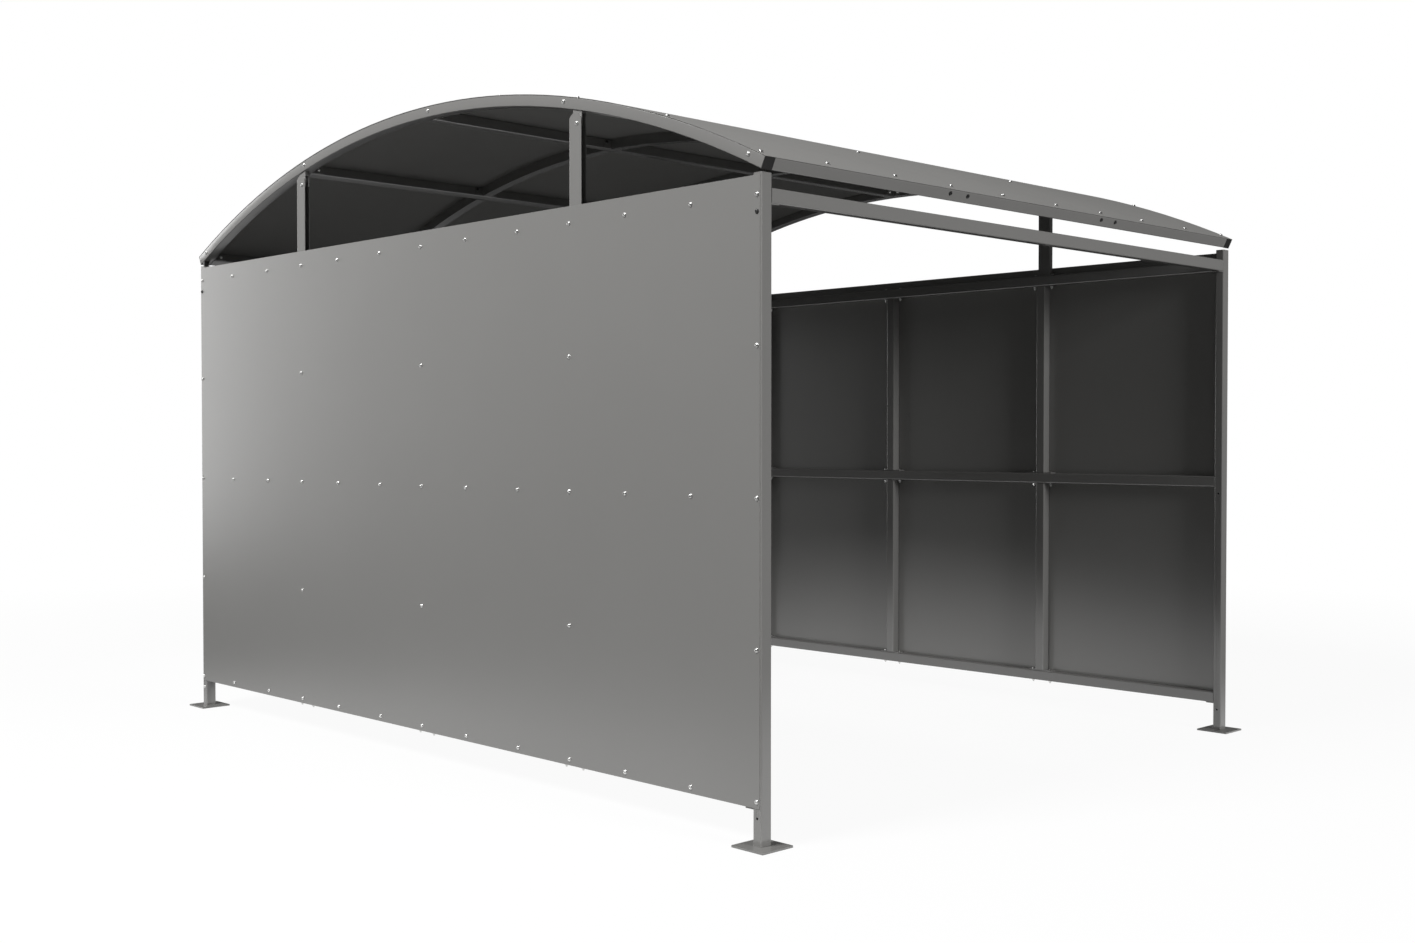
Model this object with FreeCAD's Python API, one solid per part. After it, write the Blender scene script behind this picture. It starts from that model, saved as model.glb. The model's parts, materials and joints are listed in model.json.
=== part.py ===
"""Shopping cart shelter: open bolted tube frame with two sheet side walls and a barrel roof.

Millimetres, +Z up. X runs across the entrance and Y from the entrance to the rear, with the open
front at -Y. The origin is on the ground, in the middle of the four base plates.
"""
import FreeCAD, Part
import math
import os

from FreeCAD import Vector

os.makedirs("parts", exist_ok=True)

# Plan of the shelter
shelter_width = 3180.0          # over the outer faces of the corner posts
bay_length = 1000.0             # from one wall mullion to the next
bays_per_wall = 4

# Rolled and straight tube
tube_wall = 2.0
corner_radius = 5.0             # outside corner of every straight tube
rolled_corner_flat = 3.5        # the rolled arches have a flat across each outside corner instead

# Corner posts and their base plates
post_width = 50.0               # across the entrance
post_depth = 40.0               # along the wall
post_top = 2280.0
plate_side = 150.0
plate_thickness = 7.0
plate_corner_radius = 3.0
drilled_hole_diameter = 9.0
drilled_hole_drop = 57.0        # from the centre of a rail down to the hole below it

# Wall rails, mullions and headers
rail_height = 50.0
rail_depth = 50.0
bottom_rail_level = 158.0       # centres of the three rails above the ground
middle_rail_level = 1185.0
top_rail_level = 2205.0
mullion_width = 50.0
mullion_depth = 50.0
end_plate_length = 130.0        # bolted plates on the ends of mullions, rafters and tall posts
end_plate_thickness = 4.0
end_plate_inset = 4.0           # narrower than the tube that carries it, each side
header_height = 52.0
header_depth = 40.0
shelf_length = 38.0             # tabs on the posts that carry the ends of rails and headers
shelf_thickness = 4.0
shelf_inset = 3.0

# Wall panels
panel_thickness = 2.0
panel_bottom = 135.0
panel_top = 2271.0
panel_edge_inset = 7.0          # from the corner of the post to the edge of the sheet

# Barrel roof
arch_underside_at_eave = 2288.0
arch_underside_at_crown = 2748.0
arch_end_setback = 2.0          # of the lower corner of an arch behind the face of the post
arch_width = 50.0
arch_depth = 45.0
end_cap_thickness = 3.0
purlin_width = 50.0             # along the slope of the roof
side_purlin_offset = 1022.0     # from the middle of the roof to the middle of a side purlin
cleat_sheet = 4.0               # folded cleats in the corners between the purlins and the arches
cleat_purlin_leg = 70.0
cleat_arch_leg = 60.0
rafter_width = 50.0
rafter_lines = 2
roof_sheet_thickness = 1.5
roof_sheet_clearance = 0.2      # between the sheet and the tubes under it
rafter_seat_clearance = 0.25    # between a rafter's end plate and the side of a purlin

# Tall posts between the top rail and the arches
tall_outer_flange = 73.0
tall_inner_flange = 68.0
tall_depth = 29.0
tall_sheet = 3.0
tall_bend_radius = 4.5          # outside of the two folds
tall_outer_setback = 3.0        # from the face of the posts
tall_head_gap = 4.0             # between the head and the lowest point of the arch above it
tall_head_radius = 30.0
tall_front_place = -1033.0      # middles of the outer flanges along the left wall
tall_rear_place = 1006.0

# Yokes that join the tall posts to the arches
yoke_length = 53.0
yoke_sheet = 3.0
yoke_overlap = 52.0             # how far the yoke reaches down inside the tall post
yoke_clearance = 0.5            # between a leg of the yoke and the flange beside it

# Caps on the corner posts, and brackets from the rear caps up to the arches
post_cap_thickness = 2.0
bracket_inset = 1.0             # from the outer and the inner face of the post
bracket_width = 25.0
bracket_thickness = 10.0

# How far a cutting shape runs past what it cuts
overrun = 10.0

# Places that follow from the sizes above
half_width = shelter_width / 2.0
half_length = (bays_per_wall * bay_length + post_depth) / 2.0
post_inner_y = half_length - post_depth
post_inner_x = half_width - post_width
arch_end_y = half_length - arch_end_setback
arch_rise = arch_underside_at_crown - arch_underside_at_eave
arch_radius = (arch_end_y ** 2 + arch_rise ** 2) / (2.0 * arch_rise)
arch_centre_z = arch_underside_at_crown - arch_radius
arch_end_angle = math.asin(arch_end_y / arch_radius)
arch_middle_radius = arch_radius + arch_depth / 2.0
post_body_top = post_top - post_cap_thickness
bottom_rail_top = bottom_rail_level + rail_height / 2.0
middle_rail_bottom = middle_rail_level - rail_height / 2.0
middle_rail_top = middle_rail_level + rail_height / 2.0
top_rail_bottom = top_rail_level - rail_height / 2.0
top_rail_top = top_rail_level + rail_height / 2.0
mullion_places = [bay_length * (i - bays_per_wall / 2.0) for i in range(1, bays_per_wall)]

AXIS_X = Vector(1, 0, 0)
AXIS_Y = Vector(0, 1, 0)
AXIS_Z = Vector(0, 0, 1)


def rounded_loop(centre, u, v, width, height, radius):
    """Closed wire of a rectangle with round corners, width along u and height along v."""
    half_u = width / 2.0
    half_v = height / 2.0
    edges = []
    points = []
    for su, sv in ((1, 1), (-1, 1), (-1, -1), (1, -1)):
        middle = centre + u * (su * (half_u - radius)) + v * (sv * (half_v - radius))
        along_u = middle + u * (su * radius)
        along_v = middle + v * (sv * radius)
        diagonal = middle + (u * su + v * sv) * (radius / math.sqrt(2.0))
        first, last = (along_u, along_v) if su * sv > 0 else (along_v, along_u)
        points.append((first, diagonal, last))
    for i, (first, diagonal, last) in enumerate(points):
        edges.append(Part.Arc(first, diagonal, last).toShape())
        edges.append(Part.LineSegment(last, points[(i + 1) % 4][0]).toShape())
    return Part.Wire(edges)


def corner_points(centre, u, v, width, height, flat):
    """Corners of a rectangle in turn, each cut by a flat, or left square where the flat is 0."""
    points = []
    for su, sv in ((1, 1), (-1, 1), (-1, -1), (1, -1)):
        corner = centre + u * (su * width / 2.0) + v * (sv * height / 2.0)
        back_u = corner - u * (su * flat)
        back_v = corner - v * (sv * flat)
        if flat == 0.0:
            points.append(corner)
        else:
            points.extend((back_v, back_u) if su * sv > 0 else (back_u, back_v))
    return points + [points[0]]


def tube_section(centre, u, v, width, height):
    """Face of a straight tube section, round outside and with flats on its inside corners."""
    outer = rounded_loop(centre, u, v, width, height, corner_radius)
    inner = Part.makePolygon(corner_points(centre, u, v, width - 2.0 * tube_wall,
                                           height - 2.0 * tube_wall, corner_radius - tube_wall))
    return Part.makeFace([outer, inner], "Part::FaceMakerBullseye")


def rolled_section(centre, u, v, width, height, flat):
    """Face of a rolled tube section, with flats of a given size on its outside corners."""
    outer = Part.makePolygon(corner_points(centre, u, v, width, height, flat))
    inner = Part.makePolygon(corner_points(centre, u, v, width - 2.0 * tube_wall,
                                           height - 2.0 * tube_wall, 0.0))
    return Part.makeFace([outer, inner], "Part::FaceMakerBullseye")


def tube_along_z(x, y, bottom, top, size_x, size_y):
    section = tube_section(Vector(x, y, bottom), AXIS_X, AXIS_Y, size_x, size_y)
    return section.extrude(AXIS_Z * (top - bottom))


def tube_along_y(x, z, front, rear, size_x, size_z):
    section = tube_section(Vector(x, front, z), AXIS_Z, AXIS_X, size_z, size_x)
    return section.extrude(AXIS_Y * (rear - front))


def tube_along_x(y, z, left, right, size_y, size_z):
    section = tube_section(Vector(left, y, z), AXIS_Y, AXIS_Z, size_y, size_z)
    return section.extrude(AXIS_X * (right - left))


def block(x0, x1, y0, y1, z0, z1):
    """Box between two corners, which may be given in either order."""
    low = Vector(min(x0, x1), min(y0, y1), min(z0, z1))
    return Part.makeBox(abs(x1 - x0), abs(y1 - y0), abs(z1 - z0), low)


def roof_directions(angle):
    """Along the slope and outwards, at an angle from the crown that is positive to the rear."""
    along = Vector(0, math.cos(angle), -math.sin(angle))
    outward = Vector(0, math.sin(angle), math.cos(angle))
    return along, outward


def roof_point(x, angle, radius):
    return Vector(x, radius * math.sin(angle), arch_centre_z + radius * math.cos(angle))


def rolled_tube(x, first_angle, last_angle, width, flat):
    """Tube rolled to the curve of the roof, between two angles from the crown."""
    outward = roof_directions(first_angle)[1]
    section = rolled_section(roof_point(x, first_angle, arch_middle_radius), AXIS_X, outward,
                             width, arch_depth, flat)
    turn = math.degrees(last_angle - first_angle)
    return section.revolve(Vector(0, 0, arch_centre_z), Vector(-1, 0, 0), turn)


def angle_at(y):
    """Angle from the crown of the middle of a purlin at the distance y from the centre."""
    return math.asin(y / arch_middle_radius)


def roof_plate(x, angle, side, width, height, thickness):
    """Plate across the roof's curve whose face lies at an angle and which stands to one side."""
    along, outward = roof_directions(angle)
    middle = roof_point(x, angle, arch_middle_radius)
    corner = middle - AXIS_X * (width / 2.0) - outward * (height / 2.0)
    edge = Part.makePolygon([corner, corner + AXIS_X * width, corner + AXIS_X * width + outward * height,
                             corner + outward * height, corner])
    return Part.Face(edge).extrude(along * (side * thickness))


def save(name, solids):
    """One STEP file for a node, from one solid or from several that do not touch."""
    shape = solids[0] if len(solids) == 1 else Part.makeCompound(solids)
    shape.exportStep("parts/" + name + ".step")


def corner_post(side_x, side_y):
    x = side_x * (half_width - post_width / 2.0)
    y = side_y * (half_length - post_depth / 2.0)
    post = tube_along_z(x, y, plate_thickness, post_body_top, post_width, post_depth)
    for rail_level in (bottom_rail_level, middle_rail_level):
        start = Vector(x - post_width / 2.0 - overrun, y, rail_level - drilled_hole_drop)
        drill = Part.makeCylinder(drilled_hole_diameter / 2.0, post_width + 2.0 * overrun, start, AXIS_X)
        post = post.cut(drill)
    return post


def base_plate(side_x, side_y):
    x = side_x * (half_width - post_width / 2.0)
    y = side_y * (half_length - post_depth / 2.0)
    loop = rounded_loop(Vector(x, y, 0), AXIS_X, AXIS_Y, plate_side, plate_side, plate_corner_radius)
    return Part.Face(loop).extrude(AXIS_Z * plate_thickness)


def below_the_arch():
    """Round solid as wide as the shelter whose surface is the underside of the arches."""
    return Part.makeCylinder(arch_radius, shelter_width, Vector(-half_width, 0, arch_centre_z), AXIS_X)


def post_cap(side_x, side_y):
    """Plate that closes the head of a corner post."""
    x = side_x * (half_width - post_width / 2.0)
    y = side_y * (half_length - post_depth / 2.0)
    loop = rounded_loop(Vector(x, y, post_body_top), AXIS_X, AXIS_Y, post_width, post_depth,
                        corner_radius)
    return Part.Face(loop).extrude(AXIS_Z * post_cap_thickness)


def rear_bracket(side_x):
    """Upright on the cap of a rear post, cut to the curve of the arch that rests on it."""
    outer = side_x * (half_width - bracket_inset)
    inner = outer - side_x * bracket_width
    front = post_inner_y + bracket_inset
    upright = block(outer, inner, front, front + bracket_thickness, post_top, arch_underside_at_crown)
    return upright.common(below_the_arch())


def wall_rail(side_x, level):
    x = side_x * (half_width - rail_depth / 2.0)
    return tube_along_y(x, level, -post_inner_y, post_inner_y, rail_depth, rail_height)


def wall_shelf_tabs(side_x):
    """Tabs welded to both posts of a wall, one under each end of the three rails."""
    tabs = []
    x = side_x * (half_width - rail_depth / 2.0)
    reach = rail_depth / 2.0 - shelf_inset
    for level in (bottom_rail_level, middle_rail_level, top_rail_level):
        top = level - rail_height / 2.0
        for side_y in (-1, 1):
            tabs.append(block(x - reach, x + reach, side_y * post_inner_y,
                              side_y * (post_inner_y - shelf_length), top - shelf_thickness, top))
    return tabs


def header(side_y):
    y = side_y * (half_length - header_depth / 2.0)
    return tube_along_x(y, top_rail_level, -post_inner_x, post_inner_x, header_depth, header_height)


def header_shelf_tabs():
    tabs = []
    top = top_rail_level - header_height / 2.0
    reach = header_depth / 2.0 - shelf_inset
    for side_y in (-1, 1):
        y = side_y * (half_length - header_depth / 2.0)
        for side_x in (-1, 1):
            tabs.append(block(side_x * post_inner_x, side_x * (post_inner_x - shelf_length),
                              y - reach, y + reach, top - shelf_thickness, top))
    return tabs


def mullion_segment(x, y, bottom, top):
    """Upright tube between two rails, with a bolted plate on each end."""
    tube = tube_along_z(x, y, bottom + end_plate_thickness, top - end_plate_thickness,
                        mullion_depth, mullion_width)
    half_x = mullion_depth / 2.0 - end_plate_inset
    half_y = end_plate_length / 2.0
    foot = block(x - half_x, x + half_x, y - half_y, y + half_y, bottom, bottom + end_plate_thickness)
    head = block(x - half_x, x + half_x, y - half_y, y + half_y, top - end_plate_thickness, top)
    return tube.fuse([foot, head]).removeSplitter()


def mullion_line(side_x, y):
    x = side_x * (half_width - mullion_depth / 2.0)
    return [mullion_segment(x, y, bottom_rail_top, middle_rail_bottom),
            mullion_segment(x, y, middle_rail_top, top_rail_bottom)]


def wall_panel(side_x):
    reach = half_length - panel_edge_inset
    return block(side_x * half_width, side_x * (half_width + panel_thickness), -reach, reach,
                 panel_bottom, panel_top)


def gable_arch(side_x):
    x = side_x * (half_width - arch_width / 2.0)
    cap_angle = end_cap_thickness / arch_middle_radius
    end_angle = arch_end_angle - cap_angle
    return rolled_tube(x, -end_angle, end_angle, arch_width, rolled_corner_flat)


def arch_end_caps(side_x):
    x = side_x * (half_width - arch_width / 2.0)
    return [roof_plate(x, side_y * arch_end_angle, -side_y, arch_width, arch_depth, end_cap_thickness)
            for side_y in (-1, 1)]


def purlin_angles():
    """Angles of the middles of the five purlins, from the front eave to the rear eave."""
    eave_middle = arch_end_angle - purlin_width / 2.0 / arch_middle_radius
    return [-eave_middle, angle_at(-side_purlin_offset), 0.0, angle_at(side_purlin_offset), eave_middle]


def purlin(angle):
    along, outward = roof_directions(angle)
    reach = half_width - arch_width
    section = tube_section(roof_point(-reach, angle, arch_middle_radius), along, outward,
                           purlin_width, arch_depth)
    return section.extrude(AXIS_X * (2.0 * reach))


def purlin_cleat(side_x, angle):
    """Cleat between the end of a purlin and the inner face of an arch, on the purlin's crown side."""
    along, outward = roof_directions(angle)
    toward = along if angle < 0.0 else -along
    inward = AXIS_X * -side_x
    height = arch_depth - 2.0 * end_plate_inset
    corner = roof_point(side_x * (half_width - arch_width), angle, arch_middle_radius)
    corner = corner + toward * (purlin_width / 2.0) - outward * (height / 2.0)
    loop = [corner, corner + inward * cleat_purlin_leg,
            corner + inward * cleat_purlin_leg + toward * cleat_sheet,
            corner + inward * cleat_sheet + toward * cleat_sheet,
            corner + inward * cleat_sheet + toward * cleat_arch_leg,
            corner + toward * cleat_arch_leg, corner]
    return Part.Face(Part.makePolygon(loop)).extrude(outward * height)


def rafter_line(x):
    """Rolled rafter in pieces between the purlins, each with a bolted plate on both ends."""
    angles = purlin_angles()
    pieces = []
    face = (purlin_width / 2.0 + rafter_seat_clearance) / arch_middle_radius
    plate = end_plate_thickness / arch_middle_radius
    plate_height = arch_depth - 2.0 * end_plate_inset
    for lower, upper in zip(angles, angles[1:]):
        first = lower + face
        last = upper - face
        tube = rolled_tube(x, first + plate, last - plate, rafter_width, 0.0)
        foot = roof_plate(x, first, 1, end_plate_length, plate_height, end_plate_thickness)
        head = roof_plate(x, last, -1, end_plate_length, plate_height, end_plate_thickness)
        pieces.append(tube.fuse([foot, head]).removeSplitter())
    return pieces


def roof_sheet():
    inner_radius = arch_radius + arch_depth + roof_sheet_clearance
    outer_radius = inner_radius + roof_sheet_thickness
    start = Vector(-half_width, 0, arch_centre_z)
    corners = [roof_point(-half_width, -arch_end_angle, inner_radius),
               roof_point(-half_width, -arch_end_angle, outer_radius),
               roof_point(half_width, -arch_end_angle, outer_radius),
               roof_point(half_width, -arch_end_angle, inner_radius)]
    edge = Part.makePolygon(corners + [corners[0]])
    return Part.Face(edge).revolve(start, Vector(-1, 0, 0), math.degrees(2.0 * arch_end_angle))


def tall_head_top(place):
    """Height of the head of a tall post, from the lowest point of the arch above it."""
    far_edge = abs(place) + tall_outer_flange / 2.0
    return arch_centre_z + math.sqrt(arch_radius ** 2 - far_edge ** 2) - tall_head_gap


def tall_half(face_x, middle_x, rear, flange, bottom, top):
    """One flange of a tall post with its half of the web, folded at the rear and round-headed."""
    inward = math.copysign(1.0, middle_x - face_x)
    body = block(face_x, middle_x, rear - flange, rear, bottom, top)
    fold_line = Part.Vertex(face_x, rear, (bottom + top) / 2.0)
    fold = [edge for edge in body.Edges if edge.distToShape(fold_line)[0] < tall_sheet / 2.0]
    body = body.makeFillet(tall_bend_radius, fold)
    body = body.cut(block(face_x + inward * tall_sheet, middle_x + inward * overrun,
                          rear - flange - overrun, rear - tall_sheet, bottom - overrun, top + overrun))
    outline = rounded_loop(Vector(min(face_x, middle_x) - overrun, rear - flange / 2.0, bottom),
                           AXIS_Y, AXIS_Z, flange, 2.0 * (top - bottom), tall_head_radius)
    return body.common(Part.Face(outline).extrude(AXIS_X * (tall_depth + 2.0 * overrun)))


def left_tall_post(place):
    """Folded channel open to the front that stands on the top rail, with two round-headed flanges."""
    outer_x = -half_width + tall_outer_setback
    inner_x = outer_x + tall_depth
    middle_x = (outer_x + inner_x) / 2.0
    rear = place + tall_outer_flange / 2.0
    foot_top = top_rail_top + end_plate_thickness
    head_top = tall_head_top(place)
    outer = tall_half(outer_x, middle_x, rear, tall_outer_flange, foot_top, head_top)
    inner = tall_half(inner_x, middle_x, rear, tall_inner_flange, foot_top, head_top)
    half_foot = rail_depth / 2.0 - end_plate_inset
    foot_x = -half_width + rail_depth / 2.0
    foot = block(foot_x - half_foot, foot_x + half_foot, place - end_plate_length / 2.0,
                 place + end_plate_length / 2.0, top_rail_top, foot_top)
    return outer.fuse([inner, foot]).removeSplitter()


def left_yoke(place):
    """Inverted channel under the left arch, whose legs reach down inside a tall post."""
    inset = tall_sheet + yoke_clearance
    outer_x = -half_width + tall_outer_setback + inset
    inner_x = outer_x + tall_depth - 2.0 * inset
    front = place - tall_outer_flange / 2.0
    rear = front + yoke_length
    head_top = tall_head_top(place)
    bottom = head_top - yoke_overlap
    solid = block(outer_x, inner_x, front, rear, bottom, arch_underside_at_crown)
    hollow = block(outer_x + yoke_sheet, inner_x - yoke_sheet, front - overrun, rear + overrun,
                   bottom - overrun, head_top - yoke_sheet)
    return solid.cut(hollow).common(below_the_arch())


def half_turn(shape):
    """The same piece on the other wall, turned half a turn about the middle of the shelter."""
    turned = shape.copy()
    turned.rotate(Vector(0, 0, 0), AXIS_Z, 180.0)
    return turned


side_names = (("left", -1), ("right", 1))
end_names = (("front", -1), ("rear", 1))

for side, sx in side_names:
    for end, sy in end_names:
        save(end + "_" + side + "_post", [corner_post(sx, sy)])
        save(end + "_" + side + "_base_plate", [base_plate(sx, sy)])
    save(side + "_post_caps", [post_cap(sx, sy) for _, sy in end_names])
    save(side + "_bottom_rail", [wall_rail(sx, bottom_rail_level)])
    save(side + "_middle_rail", [wall_rail(sx, middle_rail_level)])
    save(side + "_top_rail", [wall_rail(sx, top_rail_level)])
    save(side + "_rail_shelf_tabs", wall_shelf_tabs(sx))
    for number, place in enumerate(mullion_places, 1):
        save(side + "_mullion_" + str(number), mullion_line(sx, place))
    save(side + "_wall_panel", [wall_panel(sx)])
    save(side + "_gable_arch", [gable_arch(sx)])
    save(side + "_arch_end_caps", arch_end_caps(sx))

tall_posts = [left_tall_post(tall_front_place), left_tall_post(tall_rear_place)]
yokes = [left_yoke(tall_front_place), left_yoke(tall_rear_place)]
save("front_left_tall_post", [tall_posts[0]])
save("rear_left_tall_post", [tall_posts[1]])
save("front_right_tall_post", [half_turn(tall_posts[1])])
save("rear_right_tall_post", [half_turn(tall_posts[0])])
save("left_yokes", yokes)
save("right_yokes", [half_turn(yoke) for yoke in yokes])

for end, sy in end_names:
    save(end + "_header", [header(sy)])
save("header_shelf_tabs", header_shelf_tabs())
save("rear_arch_brackets", [rear_bracket(sx) for _, sx in side_names])

purlin_names = ("front_eave_purlin", "front_purlin", "ridge_purlin", "rear_purlin", "rear_eave_purlin")
for name, angle in zip(purlin_names, purlin_angles()):
    save(name, [purlin(angle)])
for side, sx in side_names:
    save(side + "_purlin_cleats", [purlin_cleat(sx, angle) for angle in purlin_angles()])

rafter_pitch = (shelter_width - arch_width) / (rafter_lines + 1)
for number in range(1, rafter_lines + 1):
    place = -(shelter_width - arch_width) / 2.0 + number * rafter_pitch
    save("rafter_line_" + str(number), rafter_line(place))

save("roof_sheet", [roof_sheet()])
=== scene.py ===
"""Looks of the shopping cart shelter: camera, light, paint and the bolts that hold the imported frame."""
import json
import math

import bpy
import numpy as np
from mathutils import Matrix, Vector


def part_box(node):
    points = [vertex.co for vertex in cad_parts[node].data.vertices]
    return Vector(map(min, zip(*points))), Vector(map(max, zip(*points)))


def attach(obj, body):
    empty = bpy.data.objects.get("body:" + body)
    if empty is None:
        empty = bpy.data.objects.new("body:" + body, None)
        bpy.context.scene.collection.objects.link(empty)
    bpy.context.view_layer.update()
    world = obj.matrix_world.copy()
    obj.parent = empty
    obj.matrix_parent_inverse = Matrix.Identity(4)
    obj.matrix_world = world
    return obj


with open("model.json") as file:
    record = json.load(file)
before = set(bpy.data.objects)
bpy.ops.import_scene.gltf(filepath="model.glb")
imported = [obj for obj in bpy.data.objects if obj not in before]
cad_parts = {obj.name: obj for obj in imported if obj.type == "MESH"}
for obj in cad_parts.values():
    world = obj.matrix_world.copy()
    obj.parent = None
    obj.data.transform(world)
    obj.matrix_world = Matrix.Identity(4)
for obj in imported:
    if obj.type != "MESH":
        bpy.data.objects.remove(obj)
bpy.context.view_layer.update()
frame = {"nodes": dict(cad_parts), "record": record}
nodes = frame["nodes"]
scene = bpy.context.scene

# Where the camera stood, fitted to the photograph
CAMERA_PLACE = (-5.41138, -5.7177, 1.38041)
CAMERA_YAW = 0.76772
CAMERA_PITCH = -0.01971
FOCAL_PIXELS = 1584.08
PHOTO_WIDTH = 1415.0
SENSOR_WIDTH = 36.0
CLIP_END = 200.0

# Colours of the real surfaces, linear; the bracket's dark also paints the shade on some zinc bolts
PAINT = (0.235, 0.232, 0.225)
# Dark of the folded brackets, also used as painted shade on zinc bolts
BRACKET_AND_BOLT_SHADE = (0.035, 0.035, 0.035)
CAP = (0.022, 0.022, 0.022)
ZINC = (0.7, 0.7, 0.69)

# Sizes of what varies over a surface, in metres
PATCH = 0.12                    # of more and less gloss
CLOUD = 0.6                     # of lighter and darker paint
SHEET_WAVE = 0.45               # between the swells of a wide sheet
PEEL = 0.003                    # grain of powder coat
MOULD_GRAIN = 0.002
ZINC_GRAIN = 0.001
TINT = 0.03                     # share by which the paint is lighter or darker
NOISE_LOW = 0.3                 # where nearly all of a noise's values lie
NOISE_HIGH = 0.7


# Materials

def link_noise(tree, place, size, detail):
    """A noise in the object's own space whose features are about that many metres across."""
    noise = tree.nodes.new("ShaderNodeTexNoise")
    noise.inputs["Scale"].default_value = 1.0 / size
    noise.inputs["Detail"].default_value = detail
    tree.links.new(place.outputs["Object"], noise.inputs["Vector"])
    return noise


def link_range(tree, value, first, last, low, high):
    """A value spread from the range first to last over the range low to high."""
    spread = tree.nodes.new("ShaderNodeMapRange")
    spread.inputs["From Min"].default_value = first
    spread.inputs["From Max"].default_value = last
    spread.inputs["To Min"].default_value = low
    spread.inputs["To Max"].default_value = high
    tree.links.new(value, spread.inputs["Value"])
    return spread.outputs["Result"]


def finish(name, colour, roughness, spread, grain, depth, wave=0.0, metallic=0.0, specular=0.5):
    """A coated surface.

    The roughness varies by the spread over patches the size of a hand, the colour by a few percent,
    and the coat has an orange peel of that grain and depth. A wave bends wide sheets by that depth.
    """
    material = bpy.data.materials.new(name)
    material.use_nodes = True
    tree = material.node_tree
    shader = tree.nodes["Principled BSDF"]
    shader.inputs["Metallic"].default_value = metallic
    shader.inputs["Specular IOR Level"].default_value = specular
    place = tree.nodes.new("ShaderNodeTexCoord")

    patches = link_noise(tree, place, PATCH, 3.0).outputs["Fac"]
    rough = (roughness - spread, roughness + spread)
    gloss = link_range(tree, patches, NOISE_LOW, NOISE_HIGH, *rough)
    tree.links.new(gloss, shader.inputs["Roughness"])

    cloud = link_noise(tree, place, CLOUD, 2.0)
    tint = tree.nodes.new("ShaderNodeMix")
    tint.data_type = "RGBA"
    light, dark = (tuple(min(1.0, c * k) for c in colour) + (1.0,) for k in (1.0 + TINT, 1.0 - TINT))
    tint.inputs["A"].default_value = dark
    tint.inputs["B"].default_value = light
    tree.links.new(cloud.outputs["Fac"], tint.inputs["Factor"])
    tree.links.new(tint.outputs["Result"], shader.inputs["Base Color"])

    peel = tree.nodes.new("ShaderNodeBump")
    peel.inputs["Distance"].default_value = depth
    tree.links.new(link_noise(tree, place, grain, 2.0).outputs["Fac"], peel.inputs["Height"])
    if wave:
        bend = tree.nodes.new("ShaderNodeBump")
        bend.inputs["Distance"].default_value = wave
        tree.links.new(link_noise(tree, place, SHEET_WAVE, 0.0).outputs["Fac"], bend.inputs["Height"])
        tree.links.new(bend.outputs["Normal"], peel.inputs["Normal"])
    tree.links.new(peel.outputs["Normal"], shader.inputs["Normal"])
    return material


finishes = {
    "frame_paint": finish("frame_powder_coat", PAINT, 0.18, 0.01, PEEL, 0.00002, specular=1.0),
    "panel_paint": finish("panel_powder_coat", PAINT, 0.28, 0.004, PEEL, 0.00003, wave=0.0001, specular=1.0),
    "roof_paint": finish("roof_powder_coat", PAINT, 0.5, 0.02, PEEL, 0.00004, specular=0.05),
    # The bracket coat, which also dresses some zinc bolts dark as painted shade
    "bracket_steel": finish("bracket_coat_and_bolt_shade", BRACKET_AND_BOLT_SHADE, 0.35, 0.05, PEEL, 0.00003),
    "cap_plastic": finish("cap_moulded_plastic", CAP, 0.45, 0.05, MOULD_GRAIN, 0.00003),
    "bolt_zinc": finish("bolt_zinc_plate", ZINC, 0.33, 0.04, ZINC_GRAIN, 0.00001, metallic=1.0),
}


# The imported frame: finish, soft cut edges and smooth rolled corners

EDGE_LIMIT = math.radians(60.0)
EDGE_WIDTH = 0.0006
EDGE_SEGMENTS = 2
MERGE_DISTANCE = 0.00001
FLAT_FACE_WEIGHT = 100


def dress(piece, slot):
    """Gives a node its finish, merges its corners for shading and rounds its sharp edges."""
    mesh = piece.data
    mesh.materials.clear()
    mesh.materials.append(finishes[slot])
    for name in ("custom_normal", "sharp_edge"):
        attribute = mesh.attributes.get(name)
        if attribute:
            mesh.attributes.remove(attribute)
    mesh.shade_smooth()
    weld = piece.modifiers.new("merge", "WELD")
    weld.merge_threshold = MERGE_DISTANCE
    bevel = piece.modifiers.new("soft_edges", "BEVEL")
    bevel.limit_method = "ANGLE"
    bevel.angle_limit = EDGE_LIMIT
    bevel.width = EDGE_WIDTH
    bevel.segments = EDGE_SEGMENTS
    bevel.use_clamp_overlap = True
    weighted = piece.modifiers.new("flat_faces", "WEIGHTED_NORMAL")
    weighted.weight = FLAT_FACE_WEIGHT


for part in frame["record"]["subparts"]:
    dress(nodes[part["node"]], part["material_slot"])


# Fasteners, each kind drawn once round +Z and set in place many times

HEX_SIDES = 6
ROUND_SIDES = 24
SPLIT_ANGLE = math.radians(35.0)


def ring(radius, height, sides=ROUND_SIDES):
    """Points of a level circle."""
    turn = 2.0 * math.pi / sides
    return [(radius * math.cos(turn * i), radius * math.sin(turn * i), height) for i in range(sides)]


def stack(rings, sides):
    """Vertices and faces of a solid through rings of points, closed at the first and the last."""
    points = []
    faces = [tuple(reversed(range(sides)))]
    for circle in rings:
        points += circle
    for level in range(len(rings) - 1):
        low = level * sides
        high = low + sides
        for i in range(sides):
            j = (i + 1) % sides
            faces.append((low + i, low + j, high + j, high + i))
    top = (len(rings) - 1) * sides
    faces.append(tuple(top + i for i in range(sides)))
    return points, faces


def lathe(profile):
    """A solid of revolution through radii and heights."""
    return stack([ring(radius, height) for radius, height in profile], ROUND_SIDES)


def hexagon(across, low, high, chamfer):
    """A hexagonal prism, chamfered at the top down to the circle that touches its sides."""
    corner = across / math.sqrt(3.0)
    profile = [(corner, low), (corner, high - chamfer), (across / 2.0, high)]
    return stack([ring(radius, height, HEX_SIDES) for radius, height in profile], HEX_SIDES)


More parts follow.
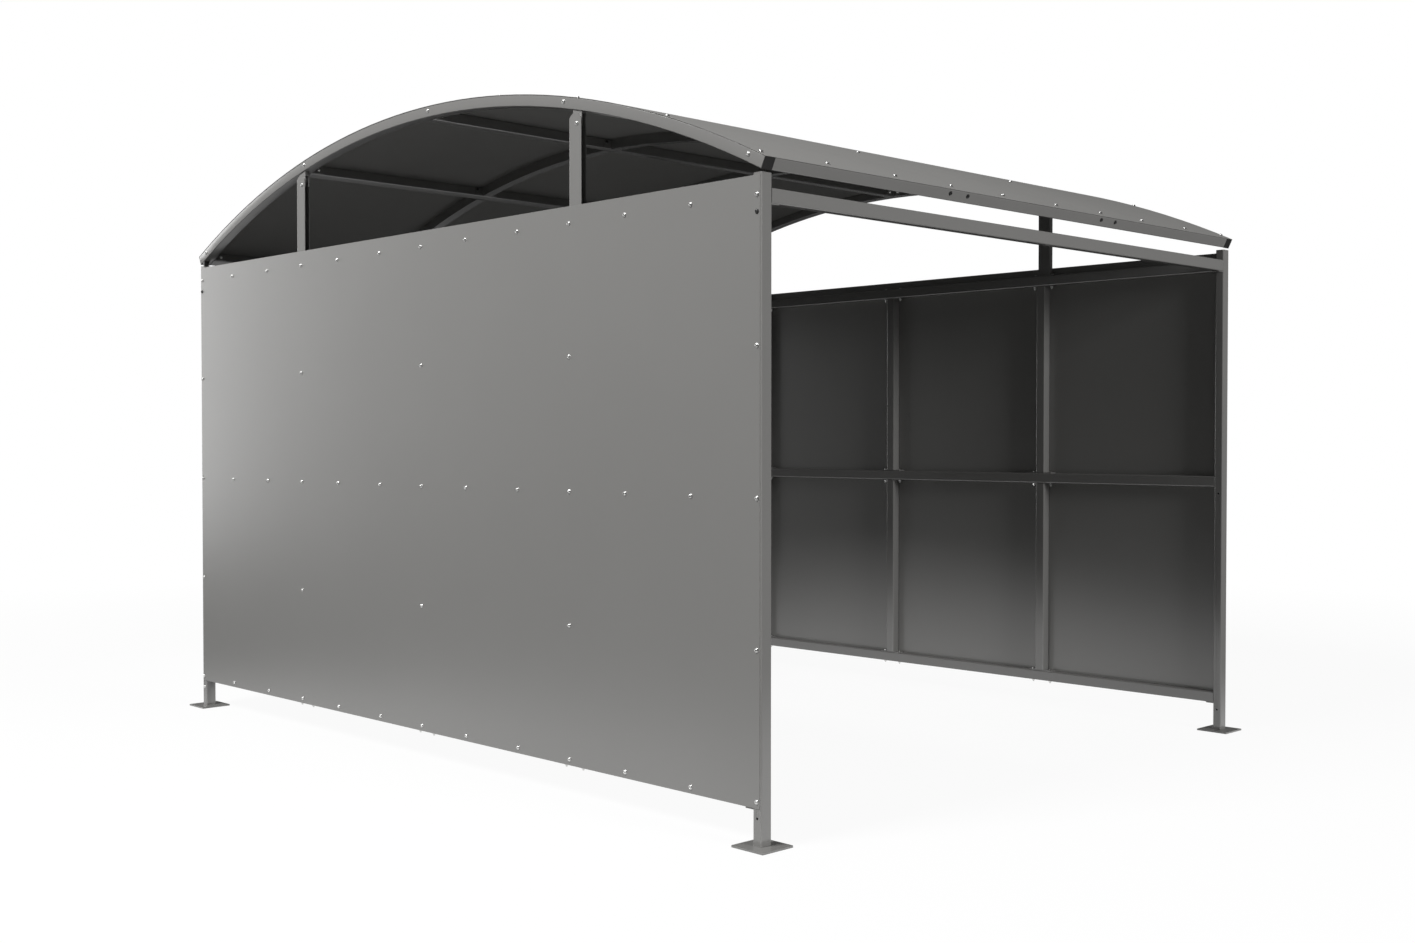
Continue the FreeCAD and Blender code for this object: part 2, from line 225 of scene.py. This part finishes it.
def together(*shapes):
    """One list of vertices and faces from several."""
    points = []
    faces = []
    for more_points, more_faces in shapes:
        start = len(points)
        points += more_points
        faces += [tuple(start + i for i in face) for face in more_faces]
    return points, faces


# M8, with a 17 mm washer. Profiles are radii and heights, and the dome's ends in a round recess.
WASHER = lathe([(0.0082, 0.0), (0.0085, 0.0003), (0.0085, 0.0012), (0.0082, 0.0015)])
DOME = lathe([
    (0.0070, 0.0015), (0.0070, 0.0025), (0.0067, 0.0036), (0.0060, 0.0047), (0.0050, 0.0054),
    (0.0038, 0.0058), (0.0027, 0.0058), (0.0026, 0.0056), (0.0025, 0.0035),
])
SCREW_END = lathe([(0.0040, 0.0080), (0.0040, 0.0130), (0.0034, 0.0138)])
ROUND_HEAD = together(WASHER, DOME)
NUT = together(WASHER, hexagon(0.013, 0.0015, 0.0083, 0.0008), SCREW_END)


def fasteners(name, shape, places, slot="bolt_zinc"):
    """One mesh of many fasteners. Each place is a point on a surface and the way out of it."""
    rng = np.random.default_rng(len(places))
    base, faces = shape
    base = np.array(base)
    points = []
    joined = []
    for point, out in places:
        spin = Matrix.Rotation(rng.uniform(0.0, 2.0 * math.pi), 3, "Z")
        turn = Vector(out).to_track_quat("Z", "Y").to_matrix() @ spin
        start = len(points) * len(base)
        points.append(base @ np.array(turn).T + np.array(point))
        joined += [tuple(start + i for i in face) for face in faces]
    mesh = bpy.data.meshes.new(name)
    mesh.from_pydata(np.concatenate(points).tolist(), [], joined)
    mesh.materials.append(finishes[slot])
    mesh.shade_smooth()
    piece = bpy.data.objects.new(name, mesh)
    scene.collection.objects.link(piece)
    split = piece.modifiers.new("edges", "EDGE_SPLIT")
    split.split_angle = SPLIT_ANGLE
    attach(piece, "root")


def middle(node, axis):
    """Middle of a node's box along one axis."""
    low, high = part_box(node)
    return (low[axis] + high[axis]) / 2.0


def outer_face(node):
    """Distance from the middle of the shelter to a node's outer side, across the entrance."""
    return max(abs(corner.x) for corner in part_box(node))


def inner_face(node):
    """Distance from the middle of the shelter to a node's inner side, across the entrance."""
    return min(abs(corner.x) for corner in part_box(node))


def between(lines, shift):
    """Two places in each bay of a row of lines, that far to each side of its middle."""
    places = []
    for a, b in zip(lines, lines[1:]):
        places += [(a + b) / 2.0 - shift, (a + b) / 2.0 + shift]
    return places


X, Y, Z = 0, 1, 2
SIDES = (("left", -1), ("right", 1))
END_PLATE = 0.004               # thickness of the bolted plates
PLATE_BOLT = 0.051              # from the middle of a tube to a bolt of its end plate

# Wall bolts: on every post and mullion line, and two between, along each rail
PANEL_PAIR = 0.1757             # each side of the middle of a bay
HALF_UP = 0.514                 # from a rail up to the bolt between it and the next
HEADER_BOLT_DROP = 0.057        # from the top rail down to the header's bolt
POST_HOLE_DROP = 0.057          # from the bottom rail down to the hole in the post
post_line = middle("rear_left_post", Y)
mullion_lines = [middle(f"left_mullion_{i}", Y) for i in (1, 2, 3)]
lines = [-post_line, *mullion_lines, post_line]
rails = [middle(f"left_{n}_rail", Z) for n in ("bottom", "middle", "top")]
columns = lines + between(lines, PANEL_PAIR)

for side, sx in SIDES:
    places = [(y, z) for y in columns for z in rails]
    places += [(y, z + HALF_UP) for y in lines for z in rails[:2]]
    face = outer_face(f"{side}_wall_panel")
    fasteners(f"{side}_wall_bolts", ROUND_HEAD, [((sx * face, y, z), (sx, 0, 0)) for y, z in places])
    # The header bolts are zinc like the wall bolts; the dark bracket finish paints their shade.
    places = [(sx * face, y, rails[2] - HEADER_BOLT_DROP) for y in (-post_line, post_line)]
    fasteners(f"{side}_header_bolts", ROUND_HEAD, [(place, (sx, 0, 0)) for place in places], "bracket_steel")
    face = outer_face(f"rear_{side}_post")
    hole = (sx * face, post_line, rails[0] - POST_HOLE_DROP)
    fasteners(f"{side}_rear_post_bolt", ROUND_HEAD, [(hole, (sx, 0, 0))])

# The roof's curve, from the upper edge of the sheet at its end and at its crown
edge = max((vertex.co for vertex in nodes["roof_sheet"].data.vertices), key=lambda co: co.y)
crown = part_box("roof_sheet")[1].z
rise = crown - edge.z
roof_radius = (edge.y ** 2 + rise ** 2) / (2.0 * rise)
roof_centre = crown - roof_radius
ARCH_DEPTH = 0.045
middle_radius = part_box("left_gable_arch")[1].z - roof_centre - ARCH_DEPTH / 2.0


def on_roof(x, angle, radius, shift=0.0):
    """A point over the roof's axis, at an angle from the crown, moved along the slope to the rear."""
    y = radius * math.sin(angle) + shift * math.cos(angle)
    z = roof_centre + radius * math.cos(angle) - shift * math.sin(angle)
    return (x, y, z)


def out_of_roof(angle):
    """Square out of the roof at an angle from the crown."""
    return (0.0, math.sin(angle), math.cos(angle))


def down_slope(angle, way):
    """Along the slope, to the rear for a way of 1 and to the front for -1."""
    return (0.0, way * math.cos(angle), -way * math.sin(angle))


# Bolts of the roof sheet
ROOF_PAIR = 0.1865              # each side of the middle between two lines
ROOF_ROWS = (-1.992, -1.022, 0.0, 1.022, 1.992)
ROOF_SPAN_ROWS = (-1.527, -0.53, 0.53, 1.527)
arch_line = middle("left_gable_arch", X)
rafter_lines = [middle("rafter_line_1", X), middle("rafter_line_2", X)]
roof_lines = [arch_line, *rafter_lines, -arch_line]
roof_columns = roof_lines + between(roof_lines, ROOF_PAIR)
grid = [(x, y) for y in ROOF_ROWS for x in roof_columns]
grid += [(x, y) for y in ROOF_SPAN_ROWS for x in roof_lines]
places = []
for x, y in grid:
    angle = math.asin(y / roof_radius)
    places.append((on_roof(x, angle, roof_radius), out_of_roof(angle)))
fasteners("roof_bolts", ROUND_HEAD, places)

# Purlins: the arches are bolted to the long leg of each cleat, and the short leg to the purlin
PURLINS = ("front_eave_purlin", "front_purlin", "ridge_purlin", "rear_purlin", "rear_eave_purlin")
PURLIN_HALF = 0.025
CLEAT_SHEET = 0.004
CLEAT_TO_ARCH_BOLT = 0.055      # along the slope from the middle of a purlin
CLEAT_TO_PURLIN_BOLT = 0.042    # along the purlin from the arch
BOLT_RISE = 0.003               # of those bolts over the middle of the tube
angles = [math.asin(middle(name, Y) / middle_radius) for name in PURLINS]
ways = [1 if name.startswith("front") else -1 for name in PURLINS]
for side, sx in SIDES:
    face = outer_face(f"{side}_gable_arch")
    inner = inner_face(f"{side}_gable_arch")
    radius = middle_radius + BOLT_RISE
    heads = []
    nuts = []
    screws = []
    for angle, way in zip(angles, ways):
        shift = way * CLEAT_TO_ARCH_BOLT
        heads.append((on_roof(sx * face, angle, radius, shift), (sx, 0, 0)))
        nuts.append((on_roof(sx * (inner - CLEAT_SHEET), angle, radius, shift), (-sx, 0, 0)))
        leg = way * (PURLIN_HALF + CLEAT_SHEET)
        screw = on_roof(sx * (inner - CLEAT_TO_PURLIN_BOLT), angle, middle_radius, leg)
        screws.append((screw, down_slope(angle, way)))
    fasteners(f"{side}_arch_bolts", ROUND_HEAD, heads)
    fasteners(f"{side}_arch_nuts", NUT, nuts)
    fasteners(f"{side}_cleat_bolts", ROUND_HEAD, screws)

# Through bolts of the rafters' end plates: heads to the outside of the eaves, or to the front
EAVE_BOLT = 0.054               # from the middle of a rafter
EAVE_BOLT_RISE = 0.007
PLATE_GAP = 0.00025             # between an end plate and the purlin
plate_face = PURLIN_HALF + END_PLATE + PLATE_GAP
heads = []
nuts = []
for name, angle in zip(PURLINS, angles):
    way = 1 if name == "rear_eave_purlin" else -1
    head_face = PURLIN_HALF if "eave" in name else plate_face
    radius = middle_radius + EAVE_BOLT_RISE
    for x in rafter_lines:
        for dx in (-EAVE_BOLT, EAVE_BOLT):
            heads.append((on_roof(x + dx, angle, radius, way * head_face), down_slope(angle, way)))
            nuts.append((on_roof(x + dx, angle, radius, -way * plate_face), down_slope(angle, -way)))
# These bolts and nuts are zinc like the rest; the dark bracket finish paints their shade.
fasteners("rafter_bolts", ROUND_HEAD, heads, "bracket_steel")
fasteners("rafter_nuts", NUT, nuts, "bracket_steel")

# Bolts of the end plates of mullions and tall posts, in the rails
for side, sx in SIDES:
    x = middle(f"{side}_bottom_rail", X)
    bottoms = [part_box(f"{side}_{n}_rail")[0].z for n in ("bottom", "middle", "top")]
    tops = [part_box(f"{side}_{n}_rail")[1].z for n in ("bottom", "middle", "top")]
    tall = [middle(f"{end}_{side}_tall_post", Y) for end in ("front", "rear")]
    heads = []
    nuts = []
    for y in mullion_lines:
        for dy in (-PLATE_BOLT, PLATE_BOLT):
            heads += [((x, y + dy, tops[i] + END_PLATE), (0, 0, 1)) for i in (0, 1)]
            nuts += [((x, y + dy, bottoms[0]), (0, 0, -1))]
            nuts += [((x, y + dy, bottoms[i] - END_PLATE), (0, 0, -1)) for i in (1, 2)]
            if y == mullion_lines[1]:
                heads.append(((x, y + dy, tops[2]), (0, 0, 1)))
    for y in tall:
        heads += [((x, y + dy, tops[2] + END_PLATE), (0, 0, 1)) for dy in (-PLATE_BOLT, PLATE_BOLT)]
    fasteners(f"{side}_mullion_bolts", ROUND_HEAD, heads)
    fasteners(f"{side}_mullion_nuts", NUT, nuts)

# Bolts through the heads of the tall posts and their yokes, turned half a turn on the right wall
TALL_DEPTH = 0.029
TALL_BOLTS = ((-1.044, 2.580), (0.994, 2.582))  # along the left wall and up, front and rear
tall_face = outer_face("front_left_tall_post")
heads = []
nuts = []
for y, z in TALL_BOLTS:
    for sx in (-1, 1):
        heads.append(((sx * tall_face, -sx * y, z), (sx, 0, 0)))
        nuts.append(((sx * (tall_face - TALL_DEPTH), -sx * y, z), (-sx, 0, 0)))
fasteners("tall_post_bolts", ROUND_HEAD, heads)
# The nuts are zinc like the heads; the dark bracket finish paints their shade.
fasteners("tall_post_nuts", NUT, nuts, "bracket_steel")


# Floor, light and camera

# Name, place, target, width and height in metres, watts, and what it lights
LAMPS = (
    ("sheen", (-4.5, 14.0, 3.0), (-1.6, 2.0, 1.4), (5.0, 6.0), 360.0, "gloss"),
    ("side", (-10.0, 0.0, 10.0), (0.0, 0.0, 1.5), (4.0, 4.0), 1700.0, "both"),
    ("front", (0.0, -14.0, 5.0), (0.0, -2.0, 1.6), (4.0, 4.0), 1040.0, "colour"),
    ("above", (-2.2, 1.5, 8.5), (-1.6, -1.3, 2.6), (4.0, 4.0), 400.0, "gloss"),
)
SOFT_LIGHT = 0.12               # of the surroundings on matt surfaces
REFLECTED = 0.1                 # of the surroundings in glossy surfaces, where white is 1


def area(name, place, target, size, watts, lights):
    """A soft light aimed at a point, which shows as gloss, in the colour of surfaces or as both."""
    lamp = bpy.data.lights.new(name, "AREA")
    lamp.shape = "RECTANGLE"
    lamp.size, lamp.size_y = size
    lamp.energy = watts
    piece = bpy.data.objects.new(name, lamp)
    piece.location = place
    piece.visible_glossy = lights in ("gloss", "both")
    piece.visible_diffuse = lights in ("colour", "both")
    piece.rotation_euler = (Vector(target) - Vector(place)).to_track_quat("-Z", "Y").to_euler()
    scene.collection.objects.link(piece)


for lamp_facts in LAMPS:
    area(*lamp_facts)


def by_kind_of_ray(tree, lit, reflected, seen, target):
    """Joins three shaders: one that lights matt surfaces, one for reflections, one for the camera."""
    path = tree.nodes.new("ShaderNodeLightPath")
    either = tree.nodes.new("ShaderNodeMath")
    either.operation = "MAXIMUM"
    tree.links.new(path.outputs["Is Glossy Ray"], either.inputs[0])
    tree.links.new(path.outputs["Is Transmission Ray"], either.inputs[1])
    for share, shader in ((either.outputs["Value"], reflected), (path.outputs["Is Camera Ray"], seen)):
        pick = tree.nodes.new("ShaderNodeMixShader")
        tree.links.new(share, pick.inputs["Fac"])
        tree.links.new(lit, pick.inputs[1])
        tree.links.new(shader, pick.inputs[2])
        lit = pick.outputs["Shader"]
    tree.links.new(lit, target)


def fade(tree, reach, way_in, values):
    """A value that changes on the way in to the shelter's middle.

    The reach is in metres along X and Y. The way in is 0 there and 1 at the middle, and the value
    changes between two points of it.
    """
    place = tree.nodes.new("ShaderNodeTexCoord")
    scale = tree.nodes.new("ShaderNodeMapping")
    scale.inputs["Scale"].default_value = (1.0 / reach[0], 1.0 / reach[1], 1.0)
    ball = tree.nodes.new("ShaderNodeTexGradient")
    ball.gradient_type = "SPHERICAL"
    tree.links.new(place.outputs["Object"], scale.inputs["Vector"])
    tree.links.new(scale.outputs["Vector"], ball.inputs["Vector"])
    return link_range(tree, ball.outputs["Fac"], *way_in, *values)


def grey_cloth(tree, share):
    """A matt grey that gives back that share of the light."""
    matt = tree.nodes.new("ShaderNodeBsdfDiffuse")
    matt.inputs["Color"].default_value = (share, share, share, 1.0)
    return matt.outputs["BSDF"]


FLOOR_HALF = 30.0
SHADOW_REACH = (9.0, 9.0)       # from the middle of the shelter, where its shadow has faded out
SHADOW_WAY = (0.0, 0.5)         # it grows between these shares of the way in
SHADOW_SHARE = 0.06             # of the floor's white that a shadow can take away
BRIGHT_REACH = (6.0, 7.0)       # of the part of the floor that shows white in glossy surfaces
BRIGHT_WAY = (0.3, 0.6)         # it grows between these shares of the way in
FLOOR_GREY = 0.15               # for the light that the floor throws up
FLOOR_PALE = 0.9                # for the shadow that the camera sees
floor_mesh = bpy.data.meshes.new("floor")
corners = [(-FLOOR_HALF, -FLOOR_HALF, 0), (FLOOR_HALF, -FLOOR_HALF, 0)]
corners += [(FLOOR_HALF, FLOOR_HALF, 0), (-FLOOR_HALF, FLOOR_HALF, 0)]
floor_mesh.from_pydata(corners, [], [(0, 1, 2, 3)])
floor = bpy.data.objects.new("floor", floor_mesh)
scene.collection.objects.link(floor)

studio_floor = bpy.data.materials.new("studio_floor")
studio_floor.use_nodes = True
studio_floor.cycles.emission_sampling = "NONE"
tree = studio_floor.node_tree
tree.nodes.clear()
output = tree.nodes.new("ShaderNodeOutputMaterial")
grey = grey_cloth(tree, FLOOR_GREY)
pale = grey_cloth(tree, FLOOR_PALE)
white = tree.nodes.new("ShaderNodeEmission")
mirrored = tree.nodes.new("ShaderNodeEmission")
tree.links.new(fade(tree, BRIGHT_REACH, BRIGHT_WAY, (REFLECTED, 1.0)), mirrored.inputs["Strength"])
seen = tree.nodes.new("ShaderNodeMixShader")
tree.links.new(fade(tree, SHADOW_REACH, SHADOW_WAY, (0.0, SHADOW_SHARE)), seen.inputs["Fac"])
tree.links.new(white.outputs["Emission"], seen.inputs[1])
tree.links.new(pale, seen.inputs[2])
shaders = (grey, mirrored.outputs["Emission"], seen.outputs["Shader"])
by_kind_of_ray(tree, *shaders, output.inputs["Surface"])
floor_mesh.materials.append(studio_floor)

world = bpy.data.worlds.new("studio")
world.use_nodes = True
world.cycles.sampling_method = "NONE"
scene.world = world
tree = world.node_tree
tree.nodes.clear()
output = tree.nodes.new("ShaderNodeOutputWorld")
skies = []
for strength in (SOFT_LIGHT, REFLECTED, 1.0):
    sky = tree.nodes.new("ShaderNodeBackground")
    sky.inputs["Color"].default_value = (1.0, 1.0, 1.0, 1.0)
    sky.inputs["Strength"].default_value = strength
    skies.append(sky.outputs["Background"])
by_kind_of_ray(tree, *skies, output.inputs["Surface"])

camera_data = bpy.data.cameras.new("camera")
camera = bpy.data.objects.new("camera", camera_data)
scene.collection.objects.link(camera)
camera.location = CAMERA_PLACE
camera.rotation_euler = (math.pi / 2.0 + CAMERA_PITCH, 0.0, -CAMERA_YAW)
camera_data.sensor_fit = "HORIZONTAL"
camera_data.sensor_width = SENSOR_WIDTH
camera_data.lens = FOCAL_PIXELS / PHOTO_WIDTH * SENSOR_WIDTH
camera_data.clip_end = CLIP_END
scene.camera = camera
scene.view_settings.view_transform = "Standard"
